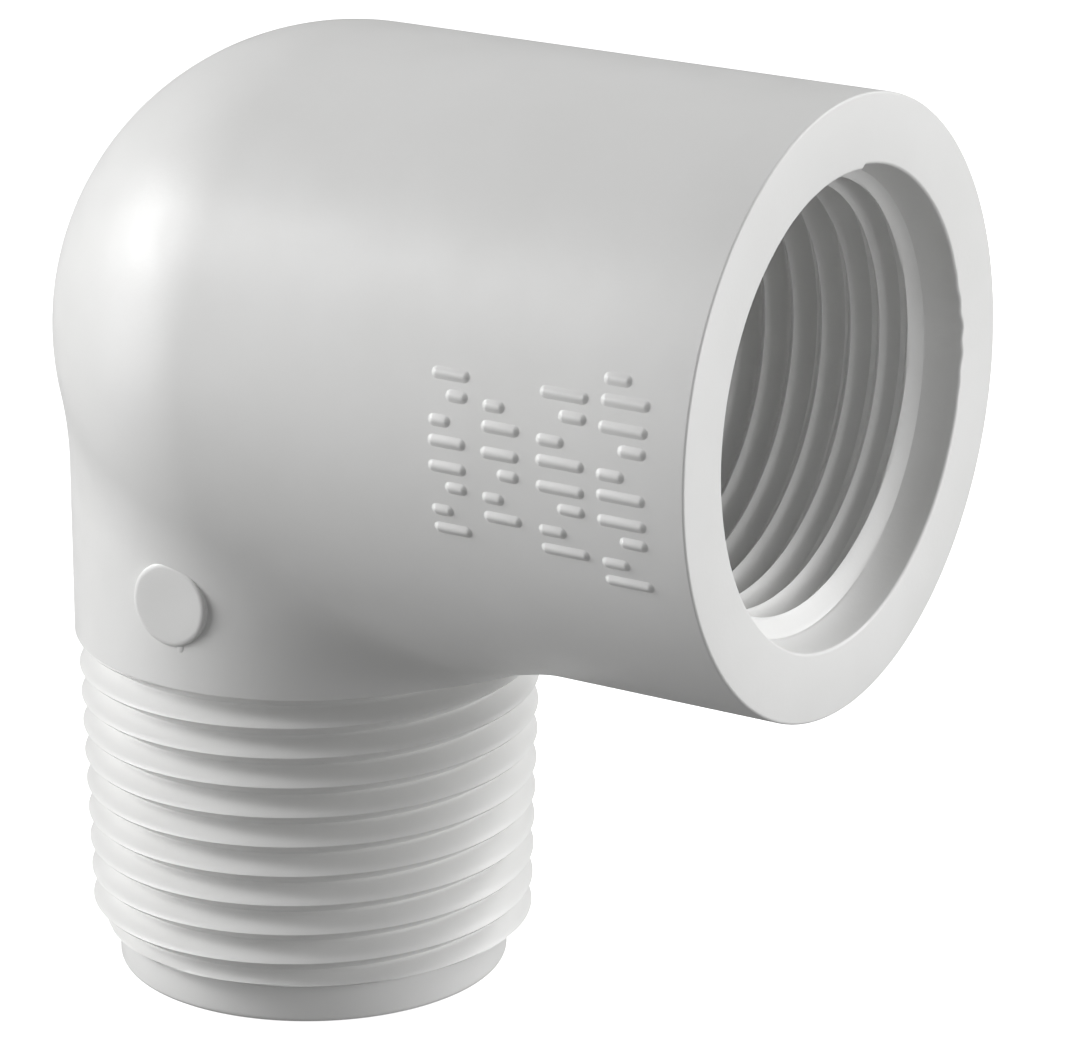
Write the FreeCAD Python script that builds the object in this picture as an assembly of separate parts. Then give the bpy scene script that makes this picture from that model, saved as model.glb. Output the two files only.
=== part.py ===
import FreeCAD, Part
import math
import os

# Ninety degree street elbow for 3/4 inch irrigation pipe.  Millimetres.
# The origin is the centre of the male end face.  +Z runs up the male leg,
# +X runs out of the female mouth.  The hub axis crosses the leg axis.

# Tapered pipe thread, 3/4-14: the radius grows by 1 in 32 along the axis.
thread_pitch = 25.4 / 14
thread_taper = 1.0 / 32
thread_flat = 0.15
flank_angle = math.radians(30)
thread_depth = (thread_pitch - 2 * thread_flat) / (2 * math.tan(flank_angle))
male_pitch_radius = 24.579 / 2
female_pitch_radius = 25.117 / 2
groove_overrun = 0.6
crest_cut = 0.04

# Male leg.
pilot_height = 2.4
pilot_radius = 11.5
pilot_lead = 0.3
shoulder_height = 20.6
male_root_height = 0.106
male_turns = 12
thread_lead = 0.5
male_lead_radius = 11.9
leg_bore_radius = 9.4

# Bend: neck, heel and the turn of the water way.
neck_radius = 13.7
hub_axis_height = 39.2
hub_radius = 17.3
heel_centre = 3.55
hub_bore_radius = 10.6
bend_end = 17.6

# The creases between neck and hub start clear of the shoulder and stay within the
# neck's reach.
crease_radius = 0.9
crease_above_shoulder = 0.5
crease_slack = 0.1
crease_least_length = 1.0

# Female hub.
mouth_x = 35.4
mouth_edge = 0.35
recess_radius = 13.35
recess_depth = 2.2
lead_in_depth = 2.9
female_root_x = 15.07
female_turns = 10.5

# Raised disc left by the moulding gate, on the -Y side of the neck.
gate_height = 25.6
gate_radius = 2.45
gate_face = 13.95

# Raised marking on the -Y side of the hub: columns of plain round-ended bars, set in
# pairs of one long and one short bar.  Angles are in degrees about the hub axis.
# Each column: start along X, long bar's length along X, number of pairs.
marking_columns = ((19.8, 2.2, 4), (23.1, 2.2, 3), (26.5, 2.8, 4), (30.2, 2.8, 5))
marking_relief = 0.25
marking_bar_width = 0.5
marking_short_share = 0.55
marking_pair_step = 8.4
marking_bar_step = 3.7
marking_centre_angle = -1.2

along_x = FreeCAD.Vector(1, 0, 0)
along_y = FreeCAD.Vector(0, 1, 0)
along_z = FreeCAD.Vector(0, 0, 1)
origin = FreeCAD.Vector(0, 0, 0)
bend_centre = FreeCAD.Vector(0, 0, hub_axis_height)


def turned(outline):
    """Solid of revolution about Z from a closed outline of (radius, height)."""
    corners = [FreeCAD.Vector(radius, 0, height) for radius, height in outline]
    wire = Part.makePolygon(corners + corners[:1])
    return Part.Face(wire).revolve(origin, along_z, 360)


def laid_along_hub(shape):
    """Turn a shape built about Z so that its Z axis becomes the hub axis."""
    shape.rotate(origin, along_y, 90)
    shape.translate(bend_centre)
    return shape


def male_pitch_radius_at(height):
    return male_pitch_radius + thread_taper * height


def male_crest_radius_at(height):
    return male_pitch_radius_at(height) + thread_depth / 2 - crest_cut


def female_pitch_radius_at(x):
    """The thread is gauged where it starts, at the inner end of the lead-in."""
    depth = mouth_x - lead_in_depth - x
    return female_pitch_radius - thread_taper * depth


def female_crest_radius_at(x):
    return female_pitch_radius_at(x) - thread_depth / 2 + crest_cut


def helical_groove(start_height, start_radius, turns, outward):
    """V groove on a cone about Z; outward is +1 for a male thread, -1 for female."""
    length = turns * thread_pitch
    path = Part.makeLongHelix(thread_pitch, length, start_radius, math.degrees(math.atan(thread_taper)))
    bottom = -outward * thread_depth / 2
    top = outward * thread_depth / 2
    half_bottom = thread_flat / 2
    half_top = thread_pitch / 2 - thread_flat / 2
    outline = (
        (bottom, -half_bottom),
        (top, -half_top),
        (top + outward * groove_overrun, -half_top),
        (top + outward * groove_overrun, half_top),
        (top, half_top),
        (bottom, half_bottom),
    )
    corners = [FreeCAD.Vector(start_radius + radial, 0, axial) for radial, axial in outline]
    profile = Part.makePolygon(corners + corners[:1])
    sweep = Part.BRepOffsetAPI.MakePipeShell(path)
    sweep.setFrenetMode(True)
    sweep.add(profile)
    sweep.build()
    sweep.makeSolid()
    groove = sweep.shape()
    groove.translate(FreeCAD.Vector(0, 0, start_height))
    return groove


def male_pilot():
    """Plain ring below the thread that starts the male end in its socket."""
    return turned((
        (leg_bore_radius, 0),
        (pilot_radius - pilot_lead, 0),
        (pilot_radius, pilot_lead),
        (pilot_radius, pilot_height),
        (leg_bore_radius, pilot_height),
    ))


def male_spigot():
    """Threaded tube between the pilot and the neck."""
    lead_end = pilot_height + thread_lead
    blank = turned((
        (leg_bore_radius, pilot_height),
        (male_lead_radius, pilot_height),
        (male_crest_radius_at(lead_end), lead_end),
        (male_crest_radius_at(shoulder_height), shoulder_height),
        (leg_bore_radius, shoulder_height),
    ))
    start_radius = male_pitch_radius_at(male_root_height)
    return blank.cut(helical_groove(male_root_height, start_radius, male_turns, 1))


def bend_envelope():
    """Outside of the bend: neck, spherical heel and root of the hub, softly joined."""
    neck = Part.makeCylinder(neck_radius, hub_axis_height - shoulder_height)
    neck.translate(FreeCAD.Vector(0, 0, shoulder_height))
    middle = FreeCAD.Vector(heel_centre, 0, hub_axis_height)
    heel = Part.makeSphere(hub_radius, middle)
    barrel = Part.makeCylinder(hub_radius, bend_end - heel_centre, middle, along_x)
    body = neck.fuse([heel, barrel]).removeSplitter()
    return body.makeFillet(crease_radius, crease_edges(body))


def crease_edges(body):
    """Edges where the neck runs into the heel and the hub."""
    edges = []
    reach = neck_radius + crease_slack
    for edge in body.Edges:
        box = edge.BoundBox
        above_shoulder = box.ZMin > shoulder_height + crease_above_shoulder
        within_neck = -reach < box.XMin and box.XMax < reach
        if above_shoulder and within_neck and box.XLength > crease_least_length:
            edges.append(edge)
    return edges


def elbow_bend():
    """Neck, heel and hub root, hollowed by the turn of the water way."""
    middle = FreeCAD.Vector(0, 0, hub_axis_height)
    leg_bore = Part.makeCylinder(leg_bore_radius, hub_axis_height)
    turn = Part.makeSphere(hub_bore_radius, middle)
    hub_bore = Part.makeCylinder(hub_bore_radius, mouth_x, middle, along_x)
    return bend_envelope().cut(leg_bore.fuse([turn, hub_bore]))


def female_hub():
    """Threaded barrel between the bend and the mouth, open at the mouth."""
    lead_in_x = mouth_x - lead_in_depth
    blank = turned((
        (female_crest_radius_at(bend_end), bend_end),
        (female_crest_radius_at(lead_in_x), lead_in_x),
        (recess_radius, mouth_x - recess_depth),
        (recess_radius, mouth_x),
        (hub_radius - mouth_edge, mouth_x),
        (hub_radius, mouth_x - mouth_edge),
        (hub_radius, bend_end),
    ))
    start_radius = female_pitch_radius_at(female_root_x)
    groove = helical_groove(female_root_x, start_radius, female_turns, -1)
    return laid_along_hub(blank.cut(groove))


def gate_pad():
    """Flat disc standing proud of the neck."""
    centre = FreeCAD.Vector(0, -gate_face, gate_height)
    disc = Part.makeCylinder(gate_radius, gate_face - neck_radius / 2, centre, along_y)
    neck = Part.makeCylinder(neck_radius, hub_axis_height)
    return disc.cut(neck)


def marking_bar(start_x, length, angle):
    """One round-ended bar on the hub; angle is measured from -Y towards +Z."""
    half_width = marking_bar_width / 2
    inner = hub_radius / 2
    shell = Part.makeCylinder(hub_radius + marking_relief, length)
    shell = shell.cut(Part.makeCylinder(hub_radius, length))
    post = Part.makeBox(
        hub_radius, marking_bar_width, length - marking_bar_width,
        FreeCAD.Vector(inner, -half_width, half_width))
    ends = [
        Part.makeCylinder(half_width, hub_radius, FreeCAD.Vector(inner, 0, place), along_x)
        for place in (half_width, length - half_width)]
    bar = post.fuse(ends).removeSplitter().common(shell)
    bar.rotate(origin, along_z, angle - 90)
    bar.translate(FreeCAD.Vector(0, 0, start_x))
    return laid_along_hub(bar)


def marking_pair(start_x, length, angle, long_first):
    """A long and a short bar side by side; the short one starts or ends with the long one."""
    short_length = length * marking_short_share
    turn = marking_bar_step / 2 if long_first else -marking_bar_step / 2
    short_start = start_x if long_first else start_x + length - short_length
    return [
        marking_bar(start_x, length, angle - turn),
        marking_bar(short_start, short_length, angle + turn),
    ]


def raised_marking():
    """Columns of bar pairs, each column centred on the same angle."""
    bars = []
    for start_x, length, count in marking_columns:
        first = marking_centre_angle - marking_pair_step * (count - 1) / 2
        for index in range(count):
            angle = first + index * marking_pair_step
            bars += marking_pair(start_x, length, angle, index % 2 == 0)
    return Part.makeCompound(bars)


def export(name, shape):
    os.makedirs("parts", exist_ok=True)
    solids = shape.Solids
    result = solids[0] if len(solids) == 1 else Part.makeCompound(solids)
    result.exportStep("parts/%s.step" % name)


export("elbow_bend", elbow_bend())
export("female_hub", female_hub())
export("male_spigot", male_spigot())
export("male_pilot", male_pilot())
export("gate_pad", gate_pad())
export("raised_marking", raised_marking())
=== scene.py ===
import math

import bmesh
import bpy
import numpy as np
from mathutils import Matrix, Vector


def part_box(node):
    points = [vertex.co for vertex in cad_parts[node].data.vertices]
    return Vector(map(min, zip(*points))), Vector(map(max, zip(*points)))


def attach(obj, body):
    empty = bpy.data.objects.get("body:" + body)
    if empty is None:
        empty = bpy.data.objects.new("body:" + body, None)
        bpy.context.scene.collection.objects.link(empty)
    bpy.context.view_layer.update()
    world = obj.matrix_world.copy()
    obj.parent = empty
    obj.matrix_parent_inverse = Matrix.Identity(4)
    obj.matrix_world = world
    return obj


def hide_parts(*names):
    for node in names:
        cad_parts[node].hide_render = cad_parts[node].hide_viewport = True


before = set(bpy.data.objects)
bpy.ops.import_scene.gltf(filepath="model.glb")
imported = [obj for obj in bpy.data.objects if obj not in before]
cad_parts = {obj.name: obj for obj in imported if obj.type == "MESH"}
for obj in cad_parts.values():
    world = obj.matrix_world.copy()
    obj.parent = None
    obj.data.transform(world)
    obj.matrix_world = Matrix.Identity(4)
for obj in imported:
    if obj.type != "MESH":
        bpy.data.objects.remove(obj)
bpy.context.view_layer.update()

# Sizes are in millimetres inside the builders; MM turns them into metres.
MM = 0.001
bend_low, bend_high = [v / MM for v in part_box("elbow_bend")]
gate_low, gate_high = [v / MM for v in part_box("gate_pad")]
hub_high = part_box("female_hub")[1] / MM
pilot_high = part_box("male_pilot")[1] / MM

SHOULDER_Z = bend_low.z
HUB_RADIUS = hub_high.y
HUB_Z = hub_high.z - HUB_RADIUS
SEAM_X = bend_high.x
MOUTH_X = hub_high.x
PILOT_TOP = pilot_high.z
PILOT_RADIUS = pilot_high.x

# 3/4-14 tapered pipe thread.  The roundings soften its crests and roots, and the lift
# brings the rounded crest back to the height of the CAD's cut one.
PITCH = 25.4 / 14
TAPER = 1 / 32
FLAT = 0.15
TAN_FLANK = math.tan(math.radians(30))
DEPTH = (PITCH - 2 * FLAT) / (2 * TAN_FLANK)
MALE_PITCH_RADIUS = 24.579 / 2
FEMALE_PITCH_RADIUS = 25.117 / 2
MALE_ROOT_Z = 0.106
FEMALE_ROOT_X = 15.07
CREST_ROUND = 0.50
CREST_LIFT = 0.05
ROOT_ROUND = 0.14

# Male end: the pilot's rounded edge, and the cone from just outside the pilot that
# trims the thread's first crests.
PILOT_EDGE = 0.35
LEAD_STEP = 0.4
LEAD_SLOPE = 2.0
LEAD_ROUND = 0.15

# Bend.  The rounding of the crease between neck and heel shrinks, down to its least
# share, where the two run alongside each other.
NECK_RADIUS = 13.7
HEEL_X = 3.55
LEG_BORE = 9.4
HUB_BORE = 10.6
BORE_JOIN = 0.6
CREASE = 3.0
LEAST_CREASE = 0.02
NEARLY_ZERO = 1e-9

# Soft web in the crotch: its drop below the hub, where it ends along X, and the angle
# about the hub axis over which it fades out on each side.
WEB_DROP = 1.3
WEB_END = 21.5
WEB_ANGLE = 52.0

# Mouth: rounded outer edge and rim, plain recess with a slight draw, then the chamfer
# that leads into the thread.  The recess wall's own rings lie between two shares of
# its depth.
MOUTH_EDGE = 0.15
RIM_EDGE = 0.18
RECESS_RADIUS = 13.35
RECESS_DEPTH = 2.2
RECESS_DRAW = 0.35
WALL_START = 0.2
WALL_END = 0.95
LEAD_IN_DEPTH = 2.9
CHAMFER_ROUND = 0.12

# Flaws of the recess rim, and the share of them that the recess wall takes up.  Places
# and widths are in turns about the hub axis, from its underside towards +Y.
RIM_WAVE = 0.02
RAGGED_DEPTH = 0.20
RAGGED_TURN = 0.262
RAGGED_WIDTH = 0.04
LIP_DEPTH = 0.24
LIP_TURN = 0.482
LIP_LENGTH = 0.10
WALL_FLAW = 0.8

# Gate disc: its face stands back from the CAD's and is dished, its edge is rounded, its
# skirt is rooted in the neck and its outline is a little uneven.  A small nib below it
# is mostly sunk in the neck.
GATE_SETBACK = 0.05
GATE_DISH = 0.03
GATE_EDGE_WIDTH = 0.32
GATE_EDGE_DROP = 0.16
GATE_ROOT = 0.5
GATE_LOBES = 0.006
GATE_RIPPLE = 0.004
NIB_X = 0.6
NIB_GAP = 0.02
NIB_SUNK = 0.06
NIB_HALF_SIZE = (0.30, 0.11, 0.38)

# Columns of the marking: start along X, long bar's length, number of bar pairs.  The
# foot is the soft slope round a bar, which dips under the hub's surface, and the root
# is the base below it.  Steps and the centre are in degrees about the hub axis.
MARK_COLUMNS = ((19.8, 2.2, 4), (23.1, 2.2, 3), (26.5, 2.8, 4), (30.2, 2.8, 5))
MARK_RELIEF = 0.16
MARK_WIDTH = 0.5
MARK_FOOT = 0.19
MARK_RIDGE = 0.01
MARK_SUNK = 0.02
MARK_ROOT = 0.15
MARK_SHORT = 0.55
MARK_PAIR_STEP = 8.4
MARK_BAR_STEP = 3.7
MARK_CENTRE = -1.2

# Fineness of the turned pieces: columns round the axis, and rows along one pitch.
# TURN is each column's place about the axis, from 0 to 1.
COLUMNS = 320
ROWS_PER_PITCH = 22
TURN = np.arange(COLUMNS) / COLUMNS

# Net of the bend: its cell, how far its grid reaches past the surface and past the flat
# cuts, and how its vertices are evened out and pulled on to the surface.
CELL = 0.38
MARGIN = 2.0
PAST_CUT = 3.0
EVEN_ROUNDS = 6
PULL_ROUNDS = 4
SLOPE_STEP = 0.01
LEAST_SLOPE = 0.2

# Distances in metres within which vertices merge, edges count as collapsed, and a
# vertex counts as lying on a cut.
MERGE = 2e-7
NET_MERGE = 5e-7
COLLAPSED = 1e-8
ON_PLANE = 1e-7

# Angle in degrees between faces past which their edge is shaded sharp.
SMOOTH_ANGLE = 32.0
RELIEF_SMOOTH_ANGLE = 50.0

# PVC: feature sizes and heights of its noises in millimetres, its two tones, and its
# roughness.  Noise values mostly lie between the low and the high one.
CLOUD_SIZE = 9.0
GLOSS_SIZE = 2.5
RIPPLE_SIZE = 3.5
GRAIN_SIZE = 0.3
RIPPLE_HEIGHT = 0.02
GRAIN_HEIGHT = 0.004
BUMP_STRENGTH = 0.6
DARK_TONE = (0.785, 0.785, 0.775, 1)
PALE_TONE = (0.815, 0.815, 0.808, 1)
GLOSSY_ROUGHNESS = 0.36
DULL_ROUGHNESS = 0.45
PVC_IOR = 1.53
NOISE_LOW = 0.3
NOISE_HIGH = 0.7

# The camera looks at AIM from this azimuth, elevation and distance.
AZIMUTH = math.radians(32.1)
ELEVATION = math.radians(18.25)
DISTANCE = 300.0
AIM = np.array((12.05, 5.49, 27.27))
LENS = 175.0
SENSOR = 36.0

# The camera's own axes, which also place the lights.
RIGHT = np.array((math.cos(AZIMUTH), math.sin(AZIMUTH), 0.0))
BACK = np.array((math.sin(AZIMUTH) * math.cos(ELEVATION),
                 -math.cos(AZIMUTH) * math.cos(ELEVATION), math.sin(ELEVATION)))
UP = np.cross(BACK, RIGHT)

# Softboxes: name, direction (right, up, back), width and height, and power in watts.
SOFTBOX_AIM = np.array((8.0, 0.0, 30.0))
SOFTBOX_DISTANCE = 480.0
SOFTBOXES = (
    ("left_key", (-0.83, 0.38, 0.0), (210, 160), 1.14),
    ("left_wide", (-1.0, 0.0, 0.1), (260, 260), 0.76),
    ("left_top", (-0.8, 0.5, 0.35), (170, 170), 0.44),
    ("right_wide", (1.0, 0.0, -0.05), (260, 260), 0.62),
    ("right_front", (0.87, 0.05, 0.45), (260, 260), 0.67),
    ("right_top", (0.75, 0.65, -0.1), (260, 260), 1.11),
)

# Surround: a glowing floor and backdrop for the camera, and a little light all round.
FLOOR_SIZE = 4000.0
FLOOR_TONE = 0.9
FLOOR_ROUGHNESS = 0.9
FLOOR_GLOW = 0.8
BACKDROP_RADIUS = 3500.0
WORLD_STRENGTH = 0.2
WHITE = (1, 1, 1, 1)


# ---------------------------------------------------------------- mesh tools

def make_piece(name, vertices, faces, node, material, smooth_angle=SMOOTH_ANGLE):
    """A closed piece from vertices in millimetres; it stands for a CAD node."""
    mesh = bpy.data.meshes.new(name)
    mesh.from_pydata([tuple(v) for v in np.asarray(vertices) * MM], [], faces)
    tidy = bmesh.new()
    tidy.from_mesh(mesh)
    bmesh.ops.remove_doubles(tidy, verts=tidy.verts, dist=MERGE)
    bmesh.ops.dissolve_degenerate(tidy, edges=tidy.edges, dist=COLLAPSED)
    bmesh.ops.recalc_face_normals(tidy, faces=tidy.faces)
    return finish_piece(name, mesh, tidy, node, material, smooth_angle)


def finish_piece(name, mesh, tidy, node, material, smooth_angle):
    """Shade and link a piece whose geometry is complete, and let it ride on the root."""
    limit = math.radians(smooth_angle)
    for face in tidy.faces:
        face.smooth = True
    for edge in tidy.edges:
        if len(edge.link_faces) == 2 and edge.calc_face_angle(0.0) > limit:
            edge.smooth = False
    tidy.to_mesh(mesh)
    tidy.free()
    piece = bpy.data.objects.new(name, mesh)
    bpy.context.scene.collection.objects.link(piece)
    mesh.materials.append(material)
    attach(piece, "root")
    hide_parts(node)
    return piece


def ring_grid_faces(rows, columns, closed_rows, thread=None):
    """Quads of a grid that closes around its columns, and around its rows if asked.

    thread is (first row, last row, rows per turn) where rows climb a thread: there the
    last column meets the first one a turn further on.
    """
    faces = []
    last = rows if closed_rows else rows - 1
    for row in range(last):
        following = (row + 1) % rows
        for column in range(columns):
            side = (column + 1) % columns
            near, far = row, following
            if side == 0 and thread and thread[0] <= row < thread[1]:
                near, far = [min(max(r + thread[2], thread[0]), thread[1]) for r in (row, following)]
            faces.append((row * columns + column, near * columns + side,
                          far * columns + side, following * columns + column))
    return faces


def renumbered(faces, first_vertex):
    """Faces whose vertices are numbered from the given one on."""
    return [[first_vertex + corner for corner in face] for face in faces]


# ---------------------------------------------------------------- threads

def soft_min(a, b, reach):
    """The smaller of two values, blended where they differ by less than the reach."""
    share = np.clip(0.5 + 0.5 * (b - a) / reach, 0, 1)
    return b + (a - b) * share - reach * share * (1 - share)


def soft_max(a, b, reach):
    return -soft_min(-a, -b, reach)


def thread_height(phase):
    """Height of the thread above its root, from the phase in turns past a root."""
    from_root = np.abs(phase - np.round(phase)) * PITCH
    flank = (from_root - FLAT / 2) / TAN_FLANK
    return soft_min(soft_max(flank, 0.0, ROOT_ROUND), DEPTH + CREST_LIFT, CREST_ROUND)


def thread_rows(start, low, high):
    """Axial places of the thread's rows at each column, on lines of equal phase."""
    first = math.floor((low - start) / PITCH) - 1
    last = math.ceil((high - start) / PITCH) + 1
    lines = np.arange(first * ROWS_PER_PITCH, last * ROWS_PER_PITCH + 1) / ROWS_PER_PITCH
    place = start + PITCH * (lines[:, None] + TURN[None, :])
    return np.clip(place, low, high)


def male_radius(z, turn):
    """Wall radius of the male thread; the groove is deepest at phase zero."""
    phase = (z - MALE_ROOT_Z) / PITCH - turn
    root = MALE_PITCH_RADIUS + TAPER * z - DEPTH / 2
    return root + thread_height(phase)


def female_radius(x, turn):
    """Wall radius of the female thread; the groove is deepest at phase zero."""
    phase = (x - FEMALE_ROOT_X) / PITCH - turn
    start = MOUTH_X - LEAD_IN_DEPTH
    root = FEMALE_PITCH_RADIUS - TAPER * (start - x) + DEPTH / 2
    return root - thread_height(phase)


def stacked(rings):
    """Rings of (radius, axial place), each an array over the columns, as points about Z."""
    angle = 2 * math.pi * np.arange(COLUMNS) / COLUMNS
    points = []
    for radius, place in rings:
        ring = np.empty((COLUMNS, 3))
        ring[:, 0] = radius * np.cos(angle)
        ring[:, 1] = radius * np.sin(angle)
        ring[:, 2] = place
        points.append(ring)
    return np.concatenate(points)


def arc(centre_r, centre_z, radius, start, end, steps):
    """Points (radius, place) along a rounding, from start to end in degrees."""
    angles = np.radians(np.linspace(start, end, steps))
    return [(centre_r + radius * math.cos(a), centre_z + radius * math.sin(a)) for a in angles]


def laid_along_hub(points):
    """Points built about Z, turned so that Z becomes the hub axis."""
    return np.stack([points[:, 2], points[:, 1], HUB_Z - points[:, 0]], axis=1)


def male_spigot(material):
    """Threaded tube from the pilot to the shoulder."""
    rings = [(LEG_BORE, PILOT_TOP)]
    places = thread_rows(MALE_ROOT_Z, PILOT_TOP, SHOULDER_Z)
    for place in places:
        lead = PILOT_RADIUS + LEAD_STEP + (place - PILOT_TOP) * LEAD_SLOPE
        rings.append((soft_min(male_radius(place, TURN), lead, LEAD_ROUND), place))
    rings.append((LEG_BORE, SHOULDER_Z))
    faces = ring_grid_faces(len(rings), COLUMNS, True, (1, len(places), ROWS_PER_PITCH))
    return make_piece("male_spigot_skin", stacked(rings), faces, "male_spigot", material)


def male_pilot(material):
    """Plain ring at the foot, rounded outside and chamfered at the bore."""
    edge_radius = PILOT_RADIUS - PILOT_EDGE
    outline = [(LEG_BORE + PILOT_EDGE, 0.0), (edge_radius, 0.0)]
    # The arc's point at -90 degrees is the outline's corner above.
    outline += arc(edge_radius, PILOT_EDGE, PILOT_EDGE, -80, 0, 7)
    outline += [(PILOT_RADIUS, PILOT_TOP / 2), (PILOT_RADIUS, PILOT_TOP)]
    outline += [(LEG_BORE, PILOT_TOP), (LEG_BORE, PILOT_EDGE)]
    faces = ring_grid_faces(len(outline), COLUMNS, True)
    return make_piece("male_pilot_ring", stacked(outline), faces, "male_pilot", material)


def waves(count, turn, phase=0.0):
    """A whole number of waves round the axis."""
    return np.sin(2 * math.pi * count * turn + phase)


def rim_flaw(turn):
    """Unevenness of the recess rim left by the core: slight waves, a ragged stretch on
    the far side and one small lip that stops short near the top."""
    flaw = RIM_WAVE * waves(7, turn, 0.6) * waves(3, turn)
    ragged = np.exp(-((turn - RAGGED_TURN) / RAGGED_WIDTH) ** 2)
    flaw += RAGGED_DEPTH * ragged * waves(31, turn) * waves(19, turn, 1.0)
    past_lip = (turn - LIP_TURN) / LIP_LENGTH
    lip = np.where((past_lip >= 0) & (past_lip < 1), 1 - past_lip, 0.0)
    return flaw - LIP_DEPTH * lip


def hub_outside():
    """Rings from the bend to the mouth's face, with the end of the crotch web."""
    rings = []
    for place in np.linspace(SEAM_X, WEB_END, 9):
        web = crotch_web(place, np.sin(2 * math.pi * TURN), np.cos(2 * math.pi * TURN))
        rings.append((HUB_RADIUS + web, place))
    rings.append((HUB_RADIUS, (WEB_END + MOUTH_X) / 2))
    return rings + arc(HUB_RADIUS - MOUTH_EDGE, MOUTH_X - MOUTH_EDGE, MOUTH_EDGE, 0, 90, 9)


def hub_recess():
    """Rings from the mouth's face to the step at the recess's inner end.

    The rim carries the flaws, which fade out down the wall.
    """
    flaw = rim_flaw(TURN)
    rings = []
    for radius, place in arc(RECESS_RADIUS + RIM_EDGE, MOUTH_X - RIM_EDGE, RIM_EDGE, 90, 180, 7):
        rings.append((radius + flaw, place))
    for share in np.linspace(WALL_START, WALL_END, 9):
        radius = RECESS_RADIUS - RECESS_DRAW * share ** 3
        rings.append((radius + flaw * (1 - share) * WALL_FLAW, MOUTH_X - RECESS_DEPTH * share))
    return rings


def hub_thread():
    """Rings of the female thread, from the recess's step through the chamfer to the bend."""
    step_x = MOUTH_X - RECESS_DEPTH
    step_radius = RECESS_RADIUS - RECESS_DRAW
    crest_at_lead = FEMALE_PITCH_RADIUS - DEPTH / 2
    slope = (step_radius - crest_at_lead) / (LEAD_IN_DEPTH - RECESS_DEPTH)
    rings = []
    for place in thread_rows(FEMALE_ROOT_X, SEAM_X, step_x)[::-1]:
        chamfer = step_radius + (place - step_x) * slope
        wall = soft_max(female_radius(place, TURN), chamfer, CHAMFER_ROUND)
        rings.append((np.minimum(wall, step_radius), place))
    return rings


def female_hub(material):
    """Threaded barrel from the bend to the mouth."""
    rings = hub_outside() + hub_recess()
    first = len(rings)
    rings += hub_thread()
    thread = (first, len(rings) - 1, -ROWS_PER_PITCH)
    faces = ring_grid_faces(len(rings), COLUMNS, True, thread)
    points = laid_along_hub(stacked(rings))
    return make_piece("female_hub_barrel", points, faces, "female_hub", material)


# ---------------------------------------------------------------- bend

def crotch_web(x, y, down):
    """How far the soft web stands out from the hub; down is the drop below its axis."""
    along = np.clip((WEB_END - x) / (WEB_END - NECK_RADIUS), 0, 1)
    along = along * along * (3 - 2 * along)
    around = np.clip(np.degrees(np.arctan2(np.abs(y), down)) / WEB_ANGLE, 0, 1)
    return WEB_DROP * along * np.cos(around * math.pi / 2) ** 2


def vector_length(x, y, z):
    return np.sqrt(x * x + y * y + z * z)


def bend_distance(points):
    """Distance to the bend's skin, below zero inside the wall.

    The neck is a tube up to the hub axis, and heel and hub root are a tube from HEEL_X
    on, each with a round end.  The water way is made the same way, but its hub arm
    starts at the leg's axis.
    """
    x, y, z = points[..., 0], points[..., 1], points[..., 2] - HUB_Z
    below = np.minimum(z, 0.0)
    neck_run = vector_length(x, y, z - below)
    body_x = x - np.maximum(x, HEEL_X)
    body_run = vector_length(body_x, y, z)
    cosine = (x * body_x + y * y + (z - below) * z) / (neck_run * body_run + NEARLY_ZERO)
    crease = CREASE * np.sqrt(np.clip(1 - cosine * cosine, LEAST_CREASE ** 2, 1))
    barrel = HUB_RADIUS + crotch_web(x, y, -z) * (x > 0)
    outer = soft_min(neck_run - NECK_RADIUS, body_run - barrel, crease)
    hub_x = x - np.maximum(x, 0.0)
    hub_run = vector_length(hub_x, y, z)
    inner = soft_min(neck_run - LEG_BORE, hub_run - HUB_BORE, BORE_JOIN)
    return np.maximum(outer, -inner)


def net_vertices(grid, value, cell):
    """One vertex in each cell that the surface crosses, at the mean of its crossings.

    Also gives each cell the number of its vertex, or -1.
    """
    shape = tuple(n - 1 for n in value.shape)
    total = np.zeros(shape + (3,))
    count = np.zeros(shape)
    for axis in range(3):
        near = [slice(None)] * 3
        far = [slice(None)] * 3
        near[axis] = slice(0, -1)
        far[axis] = slice(1, None)
        a, b = value[tuple(near)], value[tuple(far)]
        crossed = (a < 0) != (b < 0)
        share = np.where(crossed, a / np.where(crossed, a - b, 1.0), 0.0)
        point = grid[tuple(near)].copy()
        point[..., axis] += share * cell
        u, v = [i for i in range(3) if i != axis]
        for shift_u, shift_v in ((0, 0), (0, 1), (1, 0), (1, 1)):
            part = [slice(None)] * 3
            part[u] = slice(shift_u, shift_u + shape[u])
            part[v] = slice(shift_v, shift_v + shape[v])
            hit = crossed[tuple(part)]
            total += point[tuple(part)] * hit[..., None]
            count += hit
    used = count > 0
    number = np.full(shape, -1)
    number[used] = np.arange(used.sum())
    return total[used] / count[used][:, None], number


def net_quads(inside, number):
    """A quad round each grid edge that passes through the surface."""
    quads = []
    for axis in range(3):
        u, v = [i for i in range(3) if i != axis]
        near = [slice(1, -1)] * 3
        near[axis] = slice(0, -1)
        far = list(near)
        far[axis] = slice(1, None)
        first = inside[tuple(near)]
        crossed = first != inside[tuple(far)]
        place = np.argwhere(crossed)
        place[:, u] += 1
        place[:, v] += 1
        step_u = np.eye(3, dtype=int)[u]
        step_v = np.eye(3, dtype=int)[v]
        corners = [place - step_u - step_v, place - step_v, place, place - step_u]
        quad = np.stack([number[tuple(c.T)] for c in corners], axis=1)
        flip = first[crossed] == (axis != 1)
        quad[flip] = quad[flip][:, ::-1]
        quads.append(quad)
    return np.concatenate(quads)


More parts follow.
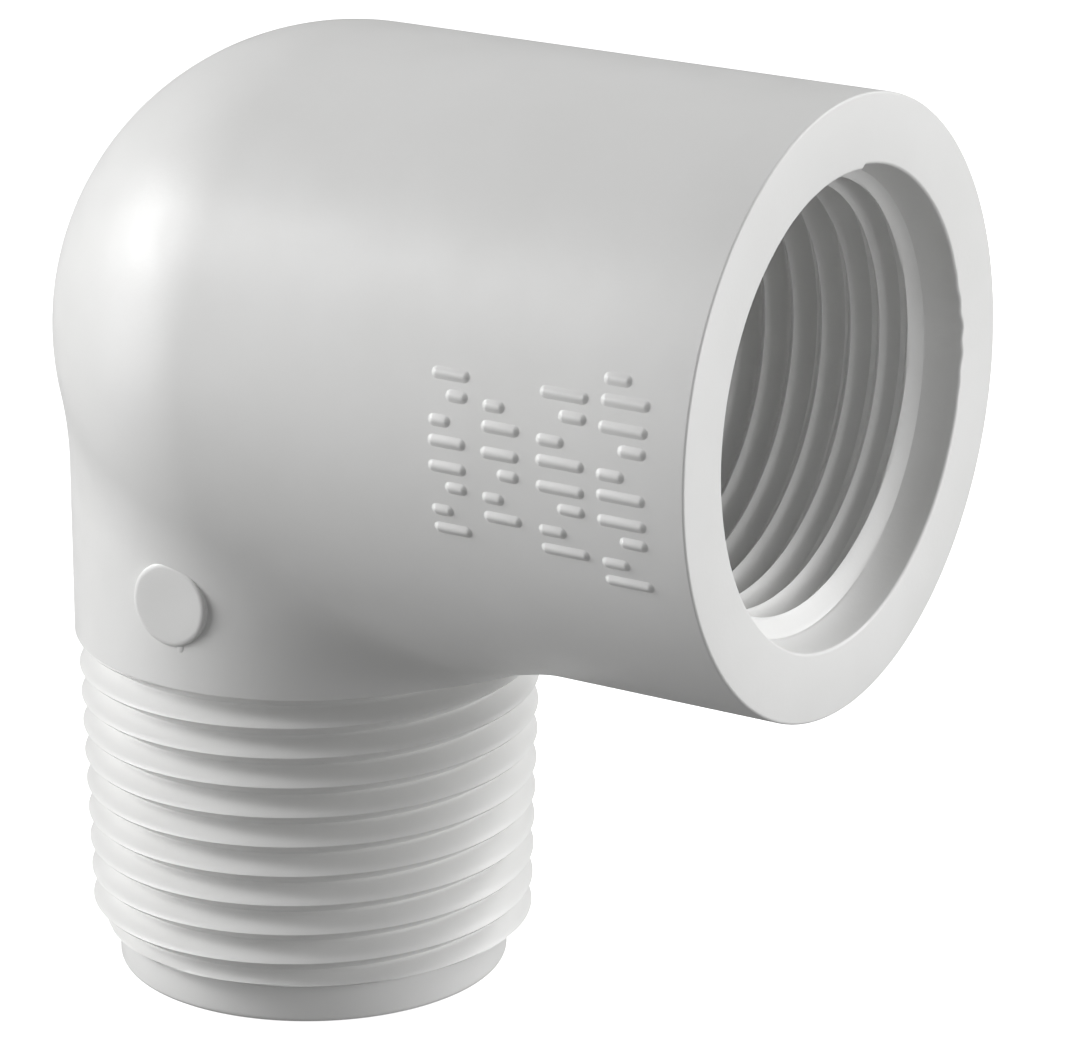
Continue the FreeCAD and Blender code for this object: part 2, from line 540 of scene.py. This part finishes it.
def surface_net(distance, low, high, cell):
    """Vertices and quads on the zero surface of a distance."""
    axes = [np.arange(a, b + cell, cell) for a, b in zip(low, high)]
    grid = np.stack(np.meshgrid(*axes, indexing="ij"), axis=-1)
    value = distance(grid)
    vertices, number = net_vertices(grid, value, cell)
    return vertices, net_quads(value < 0, number)


def pulled_on(points, distance):
    """Points moved along the slope of the distance towards its zero surface."""
    rises = []
    for step in np.eye(3) * SLOPE_STEP:
        rises.append((distance(points + step) - distance(points - step)) / (2 * SLOPE_STEP))
    slope = np.stack(rises, axis=1)
    size = np.maximum((slope * slope).sum(1), LEAST_SLOPE)
    return points - slope * (distance(points) / size)[:, None]


def settle(points, quads, distance):
    """Even out the vertices along the surface, then pull them exactly on to it."""
    edges = np.concatenate([quads[:, [i, (i + 1) % 4]] for i in range(4)])
    count = np.zeros(len(points))
    np.add.at(count, edges[:, 0], 1)
    np.add.at(count, edges[:, 1], 1)
    for _ in range(EVEN_ROUNDS):
        total = np.zeros_like(points)
        np.add.at(total, edges[:, 0], points[edges[:, 1]])
        np.add.at(total, edges[:, 1], points[edges[:, 0]])
        points = pulled_on(0.5 * points + 0.5 * total / count[:, None], distance)
    for _ in range(PULL_ROUNDS):
        points = pulled_on(points, distance)
    return points


def cut_flat(skin, place, normal):
    """Cut off what lies past a plane, and bridge the wall that the cut leaves open."""
    parts = skin.verts[:] + skin.edges[:] + skin.faces[:]
    result = bmesh.ops.bisect_plane(
        skin, geom=parts, dist=ON_PLANE, plane_co=[c * MM for c in place],
        plane_no=normal, clear_outer=True)
    rim = [e for e in result["geom_cut"] if isinstance(e, bmesh.types.BMEdge)]
    bmesh.ops.bridge_loops(skin, edges=[e for e in rim if e.is_boundary])


def elbow_bend(material):
    """Neck, heel and hub root, cut off flat at the shoulder and at the hub's seam."""
    low = (-NECK_RADIUS - MARGIN, -HUB_RADIUS - MARGIN, SHOULDER_Z - PAST_CUT)
    high = (SEAM_X + PAST_CUT, HUB_RADIUS + MARGIN, HUB_Z + HUB_RADIUS + MARGIN)
    points, quads = surface_net(bend_distance, low, high, CELL)
    points = settle(points, quads, bend_distance)
    mesh = bpy.data.meshes.new("elbow_bend_skin")
    mesh.from_pydata([tuple(v) for v in points * MM], [], quads.tolist())
    skin = bmesh.new()
    skin.from_mesh(mesh)
    cut_flat(skin, (0, 0, SHOULDER_Z), (0, 0, -1))
    cut_flat(skin, (SEAM_X, 0, 0), (1, 0, 0))
    bmesh.ops.remove_doubles(skin, verts=skin.verts, dist=NET_MERGE)
    bmesh.ops.recalc_face_normals(skin, faces=skin.faces)
    return finish_piece("elbow_bend_skin", mesh, skin, "elbow_bend", material, SMOOTH_ANGLE)


# ---------------------------------------------------------------- small relief

def small_nib(x, z, first_vertex):
    """A flattened bead on the neck, more than half sunk in it."""
    half_x, half_y, half_z = NIB_HALF_SIZE
    y = -math.sqrt(NECK_RADIUS ** 2 - x ** 2) + NIB_SUNK
    around, levels = 16, 8
    points = [(x, y - half_y, z), (x, y + half_y, z)]
    for level in range(1, levels):
        tilt = math.pi * level / levels
        for step in range(around):
            turn = 2 * math.pi * step / around
            points.append((x + half_x * math.sin(tilt) * math.cos(turn),
                           y - half_y * math.cos(tilt),
                           z + half_z * math.sin(tilt) * math.sin(turn)))
    first_ring = first_vertex + 2
    last_ring = first_ring + (levels - 2) * around
    faces = renumbered(ring_grid_faces(levels - 1, around, False), first_ring)
    for step in range(around):
        side = (step + 1) % around
        faces.append((first_vertex, first_ring + side, first_ring + step))
        faces.append((first_vertex + 1, last_ring + step, last_ring + side))
    return np.array(points), faces


def gate_pad(material):
    """Flat disc with a soft edge, its skirt sunk in the neck, and the nib below it."""
    radius = gate_high.x
    face_y = gate_low.y + GATE_SETBACK
    root_y = -NECK_RADIUS + GATE_ROOT
    centre_z = (gate_low.z + gate_high.z) / 2
    outline = [(0.0, face_y + GATE_DISH), (radius / 2, face_y + GATE_DISH)]
    for angle in np.radians(np.linspace(0, 90, 7)):
        inset = GATE_EDGE_WIDTH * (1 - math.sin(angle))
        outline.append((radius - inset, face_y + GATE_EDGE_DROP * (1 - math.cos(angle))))
    outline += [(radius, root_y), (0.0, root_y)]
    around = 96
    angle = 2 * math.pi * np.arange(around) / around
    wobble = 1 + GATE_LOBES * np.sin(3 * angle + 0.5) + GATE_RIPPLE * np.sin(8 * angle)
    points = []
    for ring_radius, y in outline:
        across = ring_radius * wobble * np.cos(angle)
        up = ring_radius * wobble * np.sin(angle)
        points.append(np.stack([across, np.full(around, y), centre_z + up], axis=1))
    faces = ring_grid_faces(len(outline), around, False)
    nib, nib_faces = small_nib(NIB_X, centre_z - radius - NIB_GAP, len(outline) * around)
    return make_piece("gate_pad_disc", np.concatenate(points + [nib]), faces + nib_faces,
                      "gate_pad", material, RELIEF_SMOOTH_ANGLE)


def pill(length, width, inset, count):
    """Points (along, across) of a round-ended bar's outline, moved in by the inset."""
    radius = width / 2 - inset
    straight = length / 2 - width / 2
    points = []
    for end in (1, -1):
        for step in range(count):
            angle = math.radians(-90 + 180 * step / (count - 1))
            points.append((end * (straight + radius * math.cos(angle)),
                           end * radius * math.sin(angle)))
    return points


def bar_mesh(start_x, length, angle, first_vertex):
    """Vertices and faces of one soft-topped bar on the hub, its base sunk in the wall."""
    end_points = 9
    width = MARK_WIDTH + 2 * MARK_FOOT
    slope_width = width / 2 - MARK_RIDGE
    levels = [(0.0, -MARK_ROOT)]
    for share in np.linspace(0, 1, 9):
        swell = 0.5 - 0.5 * math.cos(math.pi * share)
        levels.append((slope_width * share, -MARK_SUNK + (MARK_RELIEF + MARK_SUNK) * swell))
    vertices = []
    for inset, height in levels:
        radius = HUB_RADIUS + height
        for along, across in pill(length + 2 * MARK_FOOT, width, inset, end_points):
            turn = math.radians(angle) + across / HUB_RADIUS
            vertices.append((start_x + length / 2 + along, -radius * math.cos(turn),
                             HUB_Z + radius * math.sin(turn)))
    ring = 2 * end_points
    top = (len(levels) - 1) * ring
    faces = ring_grid_faces(len(levels), ring, False)
    faces += [range(ring), range(top, top + ring)[::-1]]
    return vertices, renumbered(faces, first_vertex)


def raised_marking(material):
    """Columns of plain long and short bars where the hub carries its marking.

    The short bar of a pair starts or ends with the long one, by turns.
    """
    vertices, faces = [], []
    for start_x, length, count in MARK_COLUMNS:
        first = MARK_CENTRE - MARK_PAIR_STEP * (count - 1) / 2
        short = length * MARK_SHORT
        for index in range(count):
            angle = first + index * MARK_PAIR_STEP
            side = 1 if index % 2 == 0 else -1
            short_x = start_x if side > 0 else start_x + length - short
            for bar_x, bar_length, turn in ((start_x, length, -side), (short_x, short, side)):
                bar_angle = angle + turn * MARK_BAR_STEP / 2
                more, sides = bar_mesh(bar_x, bar_length, bar_angle, len(vertices))
                vertices += more
                faces += sides
    return make_piece("raised_marking_bars", vertices, faces, "raised_marking", material,
                      RELIEF_SMOOTH_ANGLE)


# ---------------------------------------------------------------- material

def noise(nodes, links, place, size_mm, detail, low=0.0, high=1.0):
    """Noise in object space, its usual range spread from low to high."""
    texture = nodes.new("ShaderNodeTexNoise")
    texture.inputs["Scale"].default_value = 1000.0 / size_mm
    texture.inputs["Detail"].default_value = detail
    links.new(place.outputs["Object"], texture.inputs["Vector"])
    spread = nodes.new("ShaderNodeMapRange")
    spread.inputs["From Min"].default_value = NOISE_LOW
    spread.inputs["From Max"].default_value = NOISE_HIGH
    spread.inputs["To Min"].default_value = low
    spread.inputs["To Max"].default_value = high
    links.new(texture.outputs["Fac"], spread.inputs["Value"])
    return spread.outputs["Result"]


def bump(nodes, links, height, height_mm, below=None):
    """Relief in the surface normal, laid over the relief below it if there is one."""
    relief = nodes.new("ShaderNodeBump")
    relief.inputs["Distance"].default_value = height_mm * MM
    relief.inputs["Strength"].default_value = BUMP_STRENGTH
    links.new(height, relief.inputs["Height"])
    if below:
        links.new(below, relief.inputs["Normal"])
    return relief.outputs["Normal"]


def moulded_pvc():
    """White moulded PVC: faint clouding, uneven gloss, a slight ripple and a fine grain."""
    material = bpy.data.materials.new("moulded_pvc")
    material.use_nodes = True
    nodes, links = material.node_tree.nodes, material.node_tree.links
    shader = nodes["Principled BSDF"]
    shader.inputs["IOR"].default_value = PVC_IOR
    place = nodes.new("ShaderNodeTexCoord")
    clouds = noise(nodes, links, place, CLOUD_SIZE, 3.0)
    tone = nodes.new("ShaderNodeValToRGB")
    tone.color_ramp.elements[0].color = DARK_TONE
    tone.color_ramp.elements[1].color = PALE_TONE
    links.new(clouds, tone.inputs["Fac"])
    links.new(tone.outputs["Color"], shader.inputs["Base Color"])
    gloss = noise(nodes, links, place, GLOSS_SIZE, 4.0, GLOSSY_ROUGHNESS, DULL_ROUGHNESS)
    links.new(gloss, shader.inputs["Roughness"])
    ripple = bump(nodes, links, noise(nodes, links, place, RIPPLE_SIZE, 2.0), RIPPLE_HEIGHT)
    grain = bump(nodes, links, noise(nodes, links, place, GRAIN_SIZE, 2.0), GRAIN_HEIGHT, ripple)
    links.new(grain, shader.inputs["Normal"])
    return material


# ---------------------------------------------------------------- stage

def look(name, data, place, target):
    """Place a camera or light, pointing its -Z axis at the target; both in millimetres."""
    thing = bpy.data.objects.new(name, data)
    bpy.context.scene.collection.objects.link(thing)
    away = place - target
    thing.location = [c * MM for c in place]
    thing.rotation_euler = Vector([float(c) for c in away]).to_track_quat("Z", "Y").to_euler()
    return thing


def camera():
    data = bpy.data.cameras.new("camera")
    data.lens = LENS
    data.sensor_width = SENSOR
    data.clip_start = 0.01
    data.clip_end = 20.0
    bpy.context.scene.camera = look("camera", data, AIM + BACK * DISTANCE, AIM)


def softbox(name, direction, size, power):
    data = bpy.data.lights.new(name, "AREA")
    data.shape = "RECTANGLE"
    data.size = size[0] * MM
    data.size_y = size[1] * MM
    data.energy = power
    right, up, back = direction
    away = right * RIGHT + up * UP + back * BACK
    away = away / np.linalg.norm(away)
    look(name, data, SOFTBOX_AIM + away * SOFTBOX_DISTANCE, SOFTBOX_AIM)


def glowing(name, tone, strength):
    """A plain material that gives off white light, and its shader."""
    material = bpy.data.materials.new(name)
    material.use_nodes = True
    shader = material.node_tree.nodes["Principled BSDF"]
    shader.inputs["Base Color"].default_value = (tone, tone, tone, 1)
    shader.inputs["Emission Color"].default_value = WHITE
    shader.inputs["Emission Strength"].default_value = strength
    return material, shader


def surround(name, mesh, material):
    """A piece of the surround, which neither lights nor shades the object."""
    mesh.materials.append(material)
    thing = bpy.data.objects.new(name, mesh)
    bpy.context.scene.collection.objects.link(thing)
    thing.visible_diffuse = False
    thing.visible_glossy = False
    thing.visible_shadow = False
    return thing


def floor_plane():
    half = FLOOR_SIZE / 2 * MM
    mesh = bpy.data.meshes.new("floor")
    mesh.from_pydata([(-half, -half, 0), (half, -half, 0), (half, half, 0), (-half, half, 0)],
                     [], [(0, 1, 2, 3)])
    pale, shader = glowing("pale_floor", FLOOR_TONE, FLOOR_GLOW)
    shader.inputs["Roughness"].default_value = FLOOR_ROUGHNESS
    floor = surround("floor", mesh, pale)


def backdrop():
    """White shell round everything, which only the camera sees."""
    shell = bmesh.new()
    bmesh.ops.create_icosphere(shell, subdivisions=4, radius=BACKDROP_RADIUS * MM)
    bmesh.ops.reverse_faces(shell, faces=shell.faces)
    mesh = bpy.data.meshes.new("backdrop")
    shell.to_mesh(mesh)
    shell.free()
    white, shader = glowing("white_backdrop", 0.0, 1.0)
    shader.inputs["Specular IOR Level"].default_value = 0.0
    shell_object = surround("backdrop", mesh, white)
    shell_object.visible_transmission = False


def studio():
    """The surround, a little light from all round, and the softboxes."""
    floor_plane()
    backdrop()
    world = bpy.data.worlds.new("studio")
    world.use_nodes = True
    background = world.node_tree.nodes["Background"]
    background.inputs["Color"].default_value = WHITE
    background.inputs["Strength"].default_value = WORLD_STRENGTH
    bpy.context.scene.world = world
    bpy.context.scene.view_settings.view_transform = "Standard"
    for name, direction, size, power in SOFTBOXES:
        softbox(name, direction, size, power)


pvc = moulded_pvc()
elbow_bend(pvc)
female_hub(pvc)
male_spigot(pvc)
male_pilot(pvc)
gate_pad(pvc)
raised_marking(pvc)
camera()
studio()
